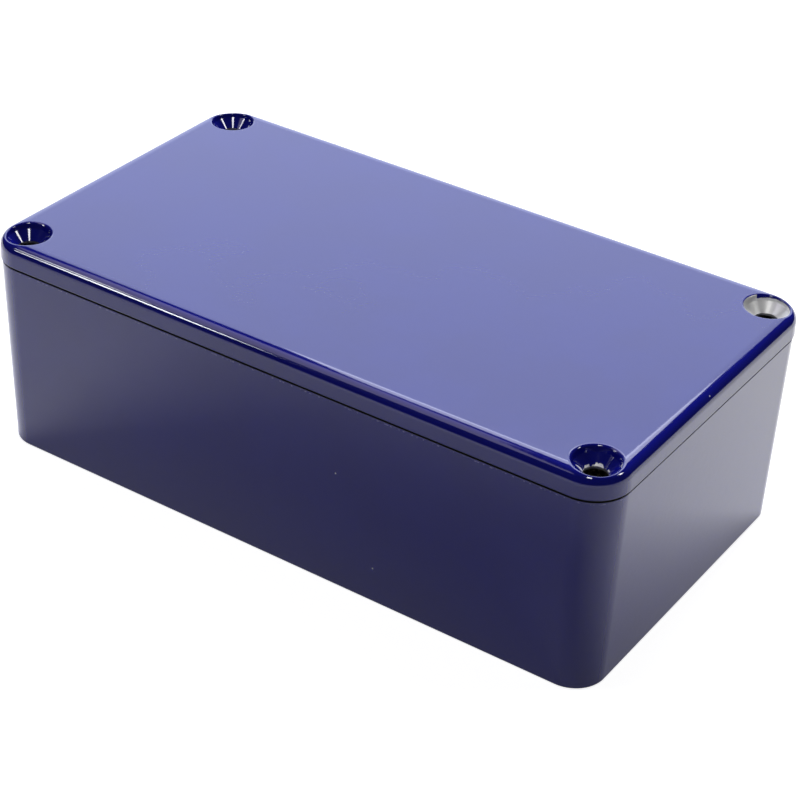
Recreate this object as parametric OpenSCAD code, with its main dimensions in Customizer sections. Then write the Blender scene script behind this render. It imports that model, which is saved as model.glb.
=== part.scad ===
// Die cast enclosure in two castings: a deep box with a screw pillar in each corner, and a
// flat lid with a rolled edge, a locating lip and four countersunk screw holes.
// Every drawn wall leans by the same draft, so that each casting leaves its die.
// The origin is at the middle of the underside, +X runs along the length, +Z is up.

/* [Overall] */
// Outside length over the lid
length = 120.5; // [90:0.5:200]
// Outside width over the lid
width = 66; // [50:1:120]
// Overall height with the lid on
height = 40; // [26:1:90]
// Corner radius of the lid in plan
corner_r = 6.65; // [6:0.05:8]
// Draft of every drawn wall, in degrees
draft = 1.3; // [0.5:0.1:2]

/* [Box] */
// Thickness of the side walls
wall = 2.3; // [1.6:0.1:2.8]
// Thickness of the floor
floor_t = 2.2; // [1.6:0.1:4]
// Fillet between floor and walls on the inside
floor_fillet = 1.5; // [0.5:0.1:2]
// Rounding of the outer bottom edge
base_edge = 0.6; // [0.2:0.1:1.2]
// Radius of a screw pillar at its top
pillar_r = 3.9; // [3.5:0.1:4.5]
// Radius of the tapped hole in a pillar
tap_r = 1.4; // [1:0.05:1.7]
// Depth of the tapped hole down to its drill point
tap_depth = 13; // [8:0.5:16]
// Width of the chamfer at the mouth of the tapped hole
tap_chamfer = 0.4; // [0.2:0.05:0.6]

/* [Lid] */
// Height of the lid's edge above the joint
lid_h = 4.2; // [3.6:0.1:7]
// Thickness of the lid's plate
lid_plate = 2.2; // [1.6:0.1:3]
// Rounding of the lid's top edge
lid_edge = 1.85; // [1:0.05:2.5]
// How far the lid stands out over the box all round
lid_overhang = 0.2; // [0.05:0.05:0.4]
// Rounding of the two edges that meet at the joint
joint_edge = 0.4; // [0.2:0.05:0.6]
// Thickness of the locating lip
lip_t = 1.5; // [1:0.1:2]
// How far the lip reaches down into the box
lip_h = 1.8; // [1:0.1:3]
// Clearance between the lip and the walls and pillars
lip_gap = 0.3; // [0.15:0.05:0.5]

/* [Screw holes] */
// From the outside of the lid to a screw's centre, along both sides
screw_inset = 5.35; // [5.1:0.05:5.8]
// Radius of the clearance hole for a screw
screw_hole_r = 1.95; // [1.75:0.05:2.2]
// Radius of a countersink at the top of the lid
sink_r = 3.85; // [3.6:0.05:4.1]
// Radius of a countersink where its steep upper wall meets the cone
cone_r = 3.5; // [2.8:0.05:3.55]
// Depth of the steep upper wall
cone_top = 1; // [0.6:0.1:1.2]
// Depth of a countersink
sink_depth = 2.5; // [1.5:0.1:2.9]

/* [Hidden] */
$fn = 96;
paint = [0.13, 0.13, 0.45];

// Where the two castings meet
joint_z = height - lid_h;
// Half distances between the centres of the corner arcs, which every outline shares
core_x = length / 2 - corner_r;
core_y = width / 2 - corner_r;
// Half distances between the screws
screw_x = length / 2 - screw_inset;
screw_y = width / 2 - screw_inset;
// How far a drawn wall leans in over one unit of height
lean = tan(draft);
// Radii of the box's outside and of its mouth, from the corner centres, at the joint
box_top_r = corner_r - lid_overhang;
mouth_r = box_top_r - wall;
// Angle at the tip of a standard drill
drill_tip = 118;
// How far a cutting shape runs past the face that it opens
past = 1;
// How far an edge's arc is let out past the two faces it rounds, so that it crosses them
ease = 0.0002;

// Outside radius of the box at a height
function box_r(z) = box_top_r - lean * (joint_z - z);

// What the rounding of an edge takes away: the corner beyond the centre of the arc, on the side
// that the two faces' outward directions point to, less the disc of the arc
module edge_cut(radius, centre, out_a, out_b) {
    reach = radius + past;
    translate(centre)
        difference() {
            polygon([[0, 0], reach * out_a, reach * (out_a + out_b), reach * out_b]);
            circle(radius);
        }
}

// Section through a leaning wall, drawn as distance out from the corner centre and height.
// It stands r out at z0 and leans outward by the angle tilt on its way up to z1. The lower
// edge is rounded by low and the upper one by high, and an edge of 0 stays sharp.
module wall_section(z0, z1, r, tilt, low, high) {
    out = [cos(tilt), -sin(tilt)];
    low_in = low - ease;
    high_in = high - ease;
    difference() {
        polygon([[0, z0], [r, z0], [r + (z1 - z0) * tan(tilt), z1], [0, z1]]);
        if (low > 0)
            edge_cut(
                low, [r + low_in * tan(tilt) - low_in / cos(tilt), z0 + low_in], [0, -1], out
            );
        if (high > 0)
            edge_cut(
                high,
                [r + (z1 - high_in - z0) * tan(tilt) - high_in / cos(tilt), z1 - high_in],
                [0, 1],
                out
            );
    }
}

// Carries a section along the four sides and round the four corners, and fills the middle
// from z0 to z1
module carried(z0, z1) {
    for (half_turn = [0, 180])
        rotate([0, 0, half_turn]) {
            translate([core_x, core_y, 0])
                rotate([90, 0, 0])
                    linear_extrude(2 * core_y)
                        children();
            rotate([0, 0, 90])
                translate([core_y, core_x, 0])
                    rotate([90, 0, 0])
                        linear_extrude(2 * core_x)
                            children();
            translate([core_x, core_y, 0])
                rotate_extrude(angle = 90)
                    children();
            translate([-core_x, core_y, 0])
                rotate([0, 0, 90])
                    rotate_extrude(angle = 90)
                        children();
        }
    translate([-core_x, -core_y, z0])
        cube([2 * core_x, 2 * core_y, z1 - z0]);
}

// Repeats its children at the four screws
module at_screws() {
    for (x = [-screw_x, screw_x], y = [-screw_y, screw_y])
        translate([x, y, 0])
            children();
}

// Plan of the box's mouth drawn in by a margin: straight sides that stay clear of the walls,
// and a hollow round each pillar
module mouth_plan(margin) {
    half_x = core_x + mouth_r - margin;
    half_y = core_y + mouth_r - margin;
    difference() {
        square([2 * half_x, 2 * half_y], center = true);
        at_screws()
            circle(pillar_r + margin);
    }
}

// Screw pillar, from the floor up to the joint, with the draft of the walls
module pillar() {
    translate([0, 0, floor_t - past])
        cylinder(
            h = joint_z + 2 * past - floor_t,
            r1 = pillar_r + lean * (joint_z - floor_t + past),
            r2 = pillar_r - lean * past
        );
}

// Blind hole for a thread, with a chamfered mouth at the joint and a drill point
module tapped_hole() {
    tip = tap_r / tan(drill_tip / 2);
    translate([0, 0, joint_z])
        rotate_extrude()
            polygon([
                [0, -tap_depth - tip],
                [tap_r, -tap_depth],
                [tap_r, -tap_chamfer],
                [tap_r + tap_chamfer + past, past],
                [0, past]
            ]);
}

// Clearance hole through the lid, with the cone for the screw's head and the steep wall above
// it, which lets the head sink below the top
module countersunk_hole() {
    spread = (sink_r - cone_r) / cone_top;
    translate([0, 0, height])
        rotate_extrude()
            polygon([
                [0, -lid_h - past],
                [screw_hole_r, -lid_h - past],
                [screw_hole_r, -sink_depth],
                [cone_r, -cone_top],
                [sink_r + spread * past, past],
                [0, past]
            ]);
}

// Hollow of the box, open at the joint, with the pillars left standing
module cavity() {
    difference() {
        carried(floor_t, joint_z + past)
            wall_section(
                floor_t, joint_z + past, box_r(floor_t) - wall, draft, floor_fillet, 0
            );
        at_screws()
            pillar();
    }
}

// Deep box
module box_body() {
    color(paint)
        difference() {
            carried(0, joint_z)
                wall_section(0, joint_z, box_r(0), draft, base_edge, joint_edge);
            cavity();
            at_screws()
                tapped_hole();
        }
}

// Lip under the lid, which locates it between the walls and round the pillars
module locating_lip() {
    translate([0, 0, joint_z - lip_h])
        linear_extrude(lip_h)
            difference() {
                mouth_plan(lip_gap);
                mouth_plan(lip_gap + lip_t);
            }
}

// Lid: an edge that is solid out to the lip, round a thinner plate
module lid() {
    color(paint) {
        difference() {
            carried(joint_z, height)
                wall_section(joint_z, height, corner_r, -draft, joint_edge, lid_edge);
            translate([0, 0, joint_z - past])
                linear_extrude(lid_h - lid_plate + past)
                    mouth_plan(lip_gap + lip_t);
            at_screws()
                countersunk_hole();
        }
        locating_lip();
    }
}

box_body();
lid();
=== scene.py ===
"""Die cast enclosure in gloss navy paint: a deep box, its lid, and a pale studio.

The two castings are closed meshes, worked out as functions of two parameters in millimetres
and written in metres. They share one path round the corners, so their outlines stay parallel.
"""

from __future__ import annotations

import logging
import math
from collections.abc import Callable, Mapping, Sequence
from dataclasses import dataclass
from enum import Enum
from functools import partial

import bpy
import numpy as np
from mathutils import Matrix, Vector
from mathutils.geometry import delaunay_2d_cdt


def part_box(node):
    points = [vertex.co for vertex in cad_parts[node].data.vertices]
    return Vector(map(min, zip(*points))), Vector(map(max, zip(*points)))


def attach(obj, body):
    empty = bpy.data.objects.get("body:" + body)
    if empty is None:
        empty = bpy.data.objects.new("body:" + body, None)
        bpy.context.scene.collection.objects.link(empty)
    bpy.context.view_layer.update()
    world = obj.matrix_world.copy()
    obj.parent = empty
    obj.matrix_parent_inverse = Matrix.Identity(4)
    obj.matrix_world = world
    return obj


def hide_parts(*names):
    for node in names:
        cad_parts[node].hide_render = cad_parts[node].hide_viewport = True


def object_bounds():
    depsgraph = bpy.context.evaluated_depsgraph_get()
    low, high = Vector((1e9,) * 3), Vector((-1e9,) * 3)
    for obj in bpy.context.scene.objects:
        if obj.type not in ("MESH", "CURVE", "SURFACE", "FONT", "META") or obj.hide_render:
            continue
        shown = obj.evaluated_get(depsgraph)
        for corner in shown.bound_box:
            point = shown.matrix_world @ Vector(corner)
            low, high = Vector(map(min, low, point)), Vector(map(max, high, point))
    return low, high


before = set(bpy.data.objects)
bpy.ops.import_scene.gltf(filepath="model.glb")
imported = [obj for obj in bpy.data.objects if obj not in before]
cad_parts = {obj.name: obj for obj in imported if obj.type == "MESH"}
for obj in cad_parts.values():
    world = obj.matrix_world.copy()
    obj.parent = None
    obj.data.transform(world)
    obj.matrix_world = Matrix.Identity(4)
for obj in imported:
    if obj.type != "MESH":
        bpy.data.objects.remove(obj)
cad_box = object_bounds()

Array = np.ndarray
Values = Array | float
Shape = Callable[[Array, Array], Array]
Section = Callable[[Array], tuple[Values, Values, Values]]
Pair = tuple[float, float]
Triple = tuple[float, float, float]

log = logging.getLogger("enclosure")

# Millimetres are turned to metres once, where a mesh is written
MM = 0.001
# Points of a mesh nearer than this many millimetres are one point. The shift, in such steps,
# keeps round sizes away from where the rounding turns over.
WELD = 1e-4
WELD_SHIFT = 0.31
# A slope is taken over this share of a parameter's span, and so many such steps from a pole
HAIR = 1e-5
POLE_STEPS = 10
# Points of an outline nearer than this many millimetres are one point of its fill
FILL_WELD = 1e-6
# Keeps a division by nothing away
TINY = 1e-9
QUARTERS = range(4)
WHITE = (1.0, 1.0, 1.0)
BLACK = (0.0, 0.0, 0.0)


class Cover(Enum):
    """Finishes that a casting carries, in the order of its material slots."""

    PAINT = 0
    BARE = 1


def placed(name: str, data: bpy.types.ID) -> bpy.types.Object:
    """Makes an object and links it to the scene.

    Args:
        name: Its name.
        data: The mesh, lamp or camera that it shows.

    Returns:
        The object.
    """
    made = bpy.data.objects.new(name, data)
    bpy.context.scene.collection.objects.link(made)
    return made


# ---------------------------------------------------------------- mesh making


def turned(points: Array, quarter: int) -> Array:
    """Turns points or directions by quarters of a turn about the upright axis.

    Args:
        points: Any array whose last axis starts with x and y.
        quarter: How many quarters of a turn, anticlockwise from above.

    Returns:
        The turned copy: each quarter takes (x, y) to (-y, x).
    """
    result = np.array(points, dtype=float)
    for _ in range(quarter % 4):
        x, y = result[..., 0].copy(), result[..., 1].copy()
        result[..., 0], result[..., 1] = -y, x
    return result


def unit(vectors: Array) -> Array:
    """Returns the vectors at length one."""
    return vectors / np.linalg.norm(vectors, axis=-1, keepdims=True)


def stations(*stops: float | int) -> Array:
    """Places along a line, in runs of even steps.

    Args:
        stops: A place, the steps to the next place, that place, and so on.

    Returns:
        Every place in order, each stop once.
    """
    runs = [np.array([float(stops[0])])]
    for start, steps, end in zip(stops[:-2:2], stops[1::2], stops[2::2]):
        runs.append(np.linspace(start, end, int(steps) + 1)[1:])
    return np.concatenate(runs)


@dataclass(frozen=True)
class Path:
    """Closed path round the castings.

    A point at a distance r outside the corner centres is core + r * out, so every outline
    of both castings comes from the same two arrays.
    """

    core: Array
    out: Array

    def at(self, distance: float) -> Array:
        """Returns the plan points at one distance from the corner centres."""
        return self.core + distance * self.out


@dataclass(frozen=True)
class Profile:
    """Section through a wall: distances out, heights and the surface's outward direction."""

    out: Array
    up: Array
    slope: Array

    def __add__(self, other: Profile) -> Profile:
        """Joins a second profile on at the end, and drops the point that they share.

        Args:
            other: The second profile, which starts where this one ends.

        Returns:
            Both as one profile.
        """
        return Profile(
            np.concatenate([self.out, other.out[1:]]),
            np.concatenate([self.up, other.up[1:]]),
            np.concatenate([self.slope, other.slope[1:]]),
        )

    def since(self, place: int) -> Profile:
        """Returns the rest of the profile, from one of its points on."""
        return Profile(self.out[place:], self.up[place:], self.slope[place:])


@dataclass(frozen=True)
class Side:
    """Straight leaning side of a section, given by its distance out at one height."""

    out: float
    up: float
    lean: float

    def at(self, height: float) -> float:
        """Returns the distance out at a height."""
        return self.out + self.lean * (height - self.up)

    def rounding(self, radius: float, level: float, above: bool, steps: int) -> Profile:
        """Rounded edge between the side and a level face.

        The arc's centre lies one radius from both, and the points are centre + radius *
        (sin t, cos t) with t counted from straight up.

        Args:
            radius: Radius of the edge.
            level: Height of the level face.
            above: Whether that face is at the upper end of the side.
            steps: Number of steps round the arc.

        Returns:
            The arc from its upper end to its lower end.
        """
        centre_up = level - radius if above else level + radius
        centre_out = self.at(centre_up) - radius * math.hypot(1, self.lean)
        side_angle = math.pi / 2 + math.atan(self.lean)
        start, end = (0.0, side_angle) if above else (side_angle, math.pi)
        angle = np.linspace(start, end, steps + 1)
        return Profile(
            centre_out + radius * np.sin(angle),
            centre_up + radius * np.cos(angle),
            np.stack([np.sin(angle), np.cos(angle)], axis=-1),
        )


@dataclass(frozen=True)
class Roll:
    """Rolled edge of two arcs that run into each other, from a level top to a side.

    The first arc is the wider one and tips the surface over by a small angle, and the
    second goes on from there down to the side. Angles are counted from straight up.
    """

    side: Side
    level: float
    ease_r: float
    ease_angle: float
    radius: float
    ease_steps: int = 10
    steps: int = 20

    @property
    def centre(self) -> Pair:
        """Centre of the second arc, which touches the side and the end of the first.

        Returns:
            Its distance out and its height.
        """
        spare = self.ease_r - self.radius
        up = self.level - self.ease_r + spare * math.cos(self.ease_angle)
        return self.side.at(up) - self.radius * math.hypot(1, self.side.lean), up

    @property
    def start(self) -> float:
        """Distance out at which the level top ends."""
        return self.centre[0] - (self.ease_r - self.radius) * math.sin(self.ease_angle)

    def profile(self) -> Profile:
        """Works out the section: centre + radius * (sin t, cos t) in each arc.

        Returns:
            The roll from the top down.
        """
        end = math.pi / 2 + math.atan(self.side.lean)
        angle = stations(0.0, self.ease_steps, self.ease_angle, self.steps, end)
        sine, cosine = np.sin(angle), np.cos(angle)
        eased = angle <= self.ease_angle
        (out, up), top = self.centre, self.level - self.ease_r
        return Profile(
            np.where(eased, self.start + self.ease_r * sine, out + self.radius * sine),
            np.where(eased, top + self.ease_r * cosine, up + self.radius * cosine),
            np.stack([sine, cosine], axis=-1),
        )

    def over(self, distance: Array) -> tuple[Array, Array]:
        """Height of the roll over distances out, and the sine of its slope's angle.

        Args:
            distance: Distances out, which may lie on the level top too.

        Returns:
            The heights, and how far the outward direction leans out.
        """
        past = np.maximum(distance - self.start, 0)
        (out, up), top = self.centre, self.level - self.ease_r
        eased = past <= self.ease_r * math.sin(self.ease_angle)
        first = np.clip(past / self.ease_r, 0, 1)
        second = np.clip((distance - out) / self.radius, -1, 1)
        lean = np.where(eased, first, second)
        rise = np.sqrt(1 - lean**2)
        return np.where(eased, top + self.ease_r * rise, up + self.radius * rise), lean


def flank(upper: Profile, lower: Profile, steps: int) -> Profile:
    """Section from an upper rounding down a straight side and round the lower rounding.

    Args:
        upper: The upper edge, whose last point is where the straight part starts.
        lower: The lower edge.
        steps: Number of steps down the straight part.

    Returns:
        The whole section, from the top down.
    """
    straight = Profile(
        np.linspace(upper.out[-1], lower.out[0], steps + 1),
        np.linspace(upper.up[-1], lower.up[0], steps + 1),
        np.repeat(upper.slope[-1:], steps + 1, axis=0),
    )
    return upper + straight + lower


class Skin:
    """Patches of one closed mesh, which are joined where their edges meet.

    Each patch brings its own surface directions, so a rounding shades smoothly into its
    neighbours and an edge between two patches stays crisp.
    """

    def __init__(self) -> None:
        """Starts with no patches."""
        self._points: list[Array] = []
        self._slopes: list[Array] = []
        self._corners: list[Array] = []
        self._finishes: list[Array] = []
        self._count = 0

    def _add(self, points: Array, slopes: Array, corners: Array, finish: Cover) -> None:
        """Keeps a patch.

        Args:
            points: Its points, in any arrangement.
            slopes: The surface's outward direction at each point.
            corners: Numbers of each face's four points.
            finish: Which of the piece's finishes covers it.
        """
        self._points.append(points.reshape(-1, 3))
        self._slopes.append(slopes.reshape(-1, 3))
        self._corners.append(corners + self._count)
        self._finishes.append(np.full(len(corners), finish.value))
        self._count += points.size // 3

    def sheet(self, points: Array, slopes: Array, finish: Cover = Cover.PAINT) -> None:
        """Adds a grid of points as one patch.

        Args:
            points: The grid, rows by columns by three.
            slopes: The surface's outward direction at each point.
            finish: Which of the piece's finishes covers the patch.
        """
        rows, columns = points.shape[:2]
        index = np.arange(rows * columns).reshape(rows, columns)
        corners = np.stack(
            [index[:-1, :-1], index[1:, :-1], index[1:, 1:], index[:-1, 1:]], axis=-1
        )
        self._add(points, slopes, corners.reshape(-1, 4), finish)

    def grid(self, shape: Shape, u: Array, v: Array, inward: bool, finish: Cover) -> None:
        """Adds the surface shape(u, v) over a grid.

        The outward direction is the cross product of the two slopes of the surface, each
        taken between points a hair apart, a little inside the grid so that a pole has one.

        Args:
            shape: Gives points for arrays of both parameters.
            u: Values of the first parameter.
            v: Values of the second parameter.
            inward: Whether the cross product has to be turned round.
            finish: Which of the piece's finishes covers the patch.
        """
        uu, vv = np.meshgrid(u, v, indexing="ij")
        hair_u, hair_v = HAIR * np.ptp(u), HAIR * np.ptp(v)
        inner = np.clip(vv, v.min() + POLE_STEPS * hair_v, v.max() - POLE_STEPS * hair_v)
        along_u = shape(uu + hair_u, inner) - shape(uu - hair_u, inner)
        along_v = shape(uu, inner + hair_v) - shape(uu, inner - hair_v)
        slopes = unit(np.cross(along_u, along_v))
        self.sheet(shape(uu, vv), -slopes if inward else slopes, finish)

    def carry(self, path: Path, profile: Profile) -> None:
        """Adds a profile carried along the closed path, in paint.

        Each point is the path's centre plus the profile's distance out, at its height, and
        its direction is the profile's own, turned to the path's.

        Args:
            path: The path, whose last point joins its first.
            profile: The section that is carried.
        """
        core = np.concatenate([path.core, path.core[:1]])[:, None, :]
        out = np.concatenate([path.out, path.out[:1]])[:, None, :]
        plan = core + out * profile.out[None, :, None]
        up = np.broadcast_to(profile.up[None, :, None], plan.shape[:2] + (1,))
        slope_up = np.broadcast_to(profile.slope[None, :, 1:], plan.shape[:2] + (1,))
        slopes = np.concatenate([out * profile.slope[None, :, :1], slope_up], axis=-1)
        self.sheet(np.concatenate([plan, up], axis=-1), slopes)

    def level(
        self, loops: Sequence[Array], height: float, facing_up: bool, finish: Cover
    ) -> None:
        """Fills the level area that lies inside an odd number of closed outlines.

        Args:
            loops: Plan outlines, the outside and any holes, without a repeated last point.
            height: Height of the area.
            facing_up: Whether the face looks up.
            finish: Which of the piece's finishes covers the patch.
        """
        plan = np.concatenate(loops)
        starts = np.cumsum([0] + [len(loop) for loop in loops])
        edges = [
            (int(start + i), int(start + (i + 1) % len(loop)))
            for start, loop in zip(starts, loops)
            for i in range(len(loop))
        ]
        # Output 0 fills the whole area that the outlines span, holes included
        found = delaunay_2d_cdt([Vector(p) for p in plan.tolist()], edges, [], 0, FILL_WELD)
        flat, triangles = np.array([tuple(p) for p in found[0]]), np.array(found[2])
        # The fill gives its own copies of the points, in single precision
        nearest = np.array([np.argmin(np.sum((plan - p) ** 2, axis=1)) for p in flat])
        corners = nearest[triangles]
        middle = plan[corners].mean(axis=1)
        inside = np.zeros(len(middle), dtype=bool)
        for loop in loops:
            x0, y0 = loop[:, 0], loop[:, 1]
            x1, y1 = np.roll(x0, -1), np.roll(y0, -1)
            spans = (y0 > middle[:, 1:]) != (y1 > middle[:, 1:])
            rise = np.where(y1 == y0, 1.0, y1 - y0)
            crossing = x0 + (middle[:, 1:] - y0) * (x1 - x0) / rise
            inside ^= np.sum(spans & (middle[:, :1] < crossing), axis=1) % 2 == 1
        corners = corners[inside][:, [0, 1, 2, 2]]
        points = np.column_stack([plan, np.full(len(plan), height)])
        slopes = np.zeros_like(points)
        slopes[:, 2] = 1 if facing_up else -1
        self._add(points, slopes, corners, finish)

    def made(self, name: str) -> bpy.types.Object:
        """Joins the patches and makes the mesh.

        Points that coincide become one, faces that have shrunk to a line are left out, and
        each face is turned so that it looks the way its own directions do.

        Args:
            name: Name of the piece.

        Returns:
            The piece, at the origin, with its directions kept at every corner.
        """
        points, slopes = np.concatenate(self._points), np.concatenate(self._slopes)
        corners, finishes = np.concatenate(self._corners), np.concatenate(self._finishes)
        keys = np.round(points / WELD + WELD_SHIFT).astype(np.int64)
        _, first, joined = np.unique(keys, axis=0, return_index=True, return_inverse=True)
        across = points[corners[:, 2]] - points[corners[:, 0]]
        other = points[corners[:, 3]] - points[corners[:, 1]]
        looks = slopes[corners].sum(axis=1)
        wrong = np.sum(np.cross(across, other) * looks, axis=1) < 0
        corners[wrong] = corners[wrong][:, ::-1]
        index = joined.reshape(-1)[corners]
        kept = index != np.roll(index, -1, axis=1)
        whole = kept.sum(axis=1) >= 3
        index, kept, corners = index[whole], kept[whole], corners[whole]
        sizes = kept.sum(axis=1)
        mesh = bpy.data.meshes.new(name)
        mesh.vertices.add(len(first))
        mesh.vertices.foreach_set("co", (points[first] * MM).ravel())
        mesh.loops.add(int(sizes.sum()))
        mesh.loops.foreach_set("vertex_index", index[kept].astype(np.int32))
        mesh.polygons.add(len(sizes))
        mesh.polygons.foreach_set("loop_start", np.concatenate([[0], np.cumsum(sizes)[:-1]]))
        mesh.polygons.foreach_set("material_index", finishes[whole].astype(np.int32))
        mesh.update(calc_edges=True)
        mesh.normals_split_custom_set(slopes[corners[kept]].tolist())
        return placed(name, mesh)


# ---------------------------------------------------------------- the two castings


@dataclass(frozen=True)
class Envelope:
    """Sizes that the two castings share, in millimetres."""

    length: float
    width: float
    height: float
    joint: float
    corner_r: float = 6.65
    draft: float = math.radians(1.3)
    overhang: float = 0.2
    wall: float = 2.3
    screw_inset: float = 5.35
    pillar_r: float = 3.9
    joint_edge: float = 0.4
    # Half side of the square round each screw that has its own mesh, and the steps along it
    cell: float = 6.0
    cell_steps: int = 10
    corner_steps: int = 36
    side_steps: Pair = (28, 14)

    @classmethod
    def around(cls, corners: Sequence[Vector], joint: float) -> Envelope:
        """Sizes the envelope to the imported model.

        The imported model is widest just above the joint, where the rounding of the lid's
        lower edge has already taken a little off the full width at the joint itself.

        Args:
            corners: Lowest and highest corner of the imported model, in metres.
            joint: Height of the joint, in metres.

        Returns:
            The envelope, in millimetres.
        """
        span = [round(high - low, 6) / MM for low, high in zip(*corners)]
        lean = math.tan(cls.draft)
        lost = 2 * cls.joint_edge * (lean + math.hypot(1, lean) - 1)
        length, width = (round(size + lost, 1) for size in span[:2])
        return cls(length, width, round(span[2], 1), round(joint / MM, 1))

    @property
    def lean(self) -> float:
        """How far a drawn wall leans in over one unit of height."""
        return math.tan(self.draft)

    @property
    def mouth_r(self) -> float:
        """Radius of the box's mouth from the corner centres."""
        return self.corner_r - self.overhang - self.wall

    def inset(self, quarter: int, depth: float) -> Array:
        """Returns the place so deep inside both sides at a quarter, in its own directions."""
        place = np.array([self.length, self.width]) / 2 - depth
        return place[::-1] if quarter % 2 else place

    def core(self, quarter: int) -> Array:
        """Returns the corner centre of a quarter, in that quarter's own directions."""
        return self.inset(quarter, self.corner_r)

    def screw(self, quarter: int) -> Array:
        """Returns the screw's centre of a quarter, in that quarter's own directions."""
        return self.inset(quarter, self.screw_inset)

    def path(self) -> Path:
        """Works out the closed path that both castings' outsides follow.

        Each quarter is an arc of outward directions about its corner centre, then the
        side, along which the centre moves and the direction stays.

        Returns:
            The path, without a repeated last point.
        """
        cores, outs = [], []
        angle = np.linspace(0, math.pi / 2, self.corner_steps + 1)
        arc = np.stack([np.cos(angle), np.sin(angle)], axis=-1)
        for quarter in QUARTERS:
            (a, b), square = self.core(quarter), self.screw(quarter)[0] - self.cell
            middle = self.side_steps[quarter % 2]
            along = stations(a, self.cell_steps, square, middle, -square, self.cell_steps, -a)
            side = np.stack([along[1:-1], np.full(len(along) - 2, b)], axis=-1)
            cores += [turned(np.tile([a, b], (len(arc), 1)), quarter), turned(side, quarter)]
            outs += [turned(arc, quarter), turned(np.tile([0.0, 1.0], (len(side), 1)), quarter)]
        return Path(np.concatenate(cores), np.concatenate(outs))


@dataclass(frozen=True)
class Mouth:
    """Outline of the box's mouth: straight sides, and a hollow round each screw pillar.

    Every function takes the distance of the straight sides from the corner centres and the
    radius of the hollows, so the same outline serves the walls at every height and the lip.
    """

    envelope: Envelope
    side_steps: int = 24
    arc_steps: int = 32

    def side(self, quarter: int, t: Array, out: Values, hollow: Values) -> Array:
        """Straight side after a quarter's hollow.

        Args:
            quarter: Which quarter.
            t: 0 at this quarter's hollow and 1 at the next one's.
            out: Distance of the sides from the corner centres.
            hollow: Radius of the hollows.

        Returns:
            Plan points between the two places where the side runs into the hollows.
        """
        core, screw = self.envelope.core(quarter), self.envelope.screw(quarter)
        y = core[1] + out
        end = screw[0] - np.sqrt(hollow**2 - (y - screw[1]) ** 2)
        x = end * (1 - 2 * t)
        return turned(np.stack(np.broadcast_arrays(x, y), axis=-1), quarter)

    def hollow(self, quarter: int, t: Array, out: Values, hollow: Values) -> Array:
        """Arc round a quarter's pillar, on the side that looks into the box.

        Args:
            quarter: Which quarter.
            t: 0 where the arc leaves the side before it and 1 where it meets the next.
            out: Distance of the sides from the corner centres.
            hollow: Radius of the arc.

        Returns:
            Plan points: the screw's centre plus the radius, at an angle that runs evenly.
        """
        core, screw = self.envelope.core(quarter), self.envelope.screw(quarter)
        over = core - screw
        start = -np.arccos((over[0] + out) / hollow)
        end = -math.pi - np.arcsin((over[1] + out) / hollow)
        angle = start + t * (end - start)
        x = screw[0] + hollow * np.cos(angle)
        y = screw[1] + hollow * np.sin(angle)
        return turned(np.stack(np.broadcast_arrays(x, y), axis=-1), quarter)

    @property
    def runs(self) -> tuple[tuple[Callable[..., Array], Array], ...]:
        """The side and the hollow, each with its steps from 0 to 1."""
        side = np.linspace(0, 1, self.side_steps + 1)
        return (self.side, side), (self.hollow, np.linspace(0, 1, self.arc_steps + 1))

    def outline(self, out: Values, hollow: Values) -> Array:
        """Works out the whole closed outline.

        Args:
            out: Distance of the sides from the corner centres.
            hollow: Radius of the hollows.

        Returns:
            Plan points, without a repeated last point.
        """
        plan = [
            run(quarter, along[:-1], out, hollow)
            for quarter in QUARTERS
            for run, along in reversed(self.runs)
        ]
        return np.concatenate(plan)

    def wall(self, run: Callable[..., Array], section: Section, t: Array, w: Array) -> Array:
        """Works out a wall: the outline at each height, with that height.

        Args:
            run: The side or hollow that it stands on.
            section: Gives distance out, hollow's radius and height.
            t: Values along the run.
            w: Values up the section.

        Returns:
            Points of the wall.
        """
        out, hollow, height = section(w)
        plan = run(t, out, hollow)
        rise = np.broadcast_to(height, plan.shape[:-1])[..., None]
        return np.concatenate([plan, rise], axis=-1)

    def walls(self, skin: Skin, up: Array, section: Section, looks_in: bool) -> None:
        """Adds the walls that stand on the outline, in bare metal.

        Args:
            skin: The mesh that takes them.
            up: Values up the section.
            section: Gives distance out, hollow's radius and height for values up the section.
            looks_in: Whether the walls look into the outline.
        """
        for quarter in QUARTERS:
            for run, along in self.runs:
                wall = partial(self.wall, partial(run, quarter), section)
                skin.grid(wall, along, up, looks_in, Cover.BARE)


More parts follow.
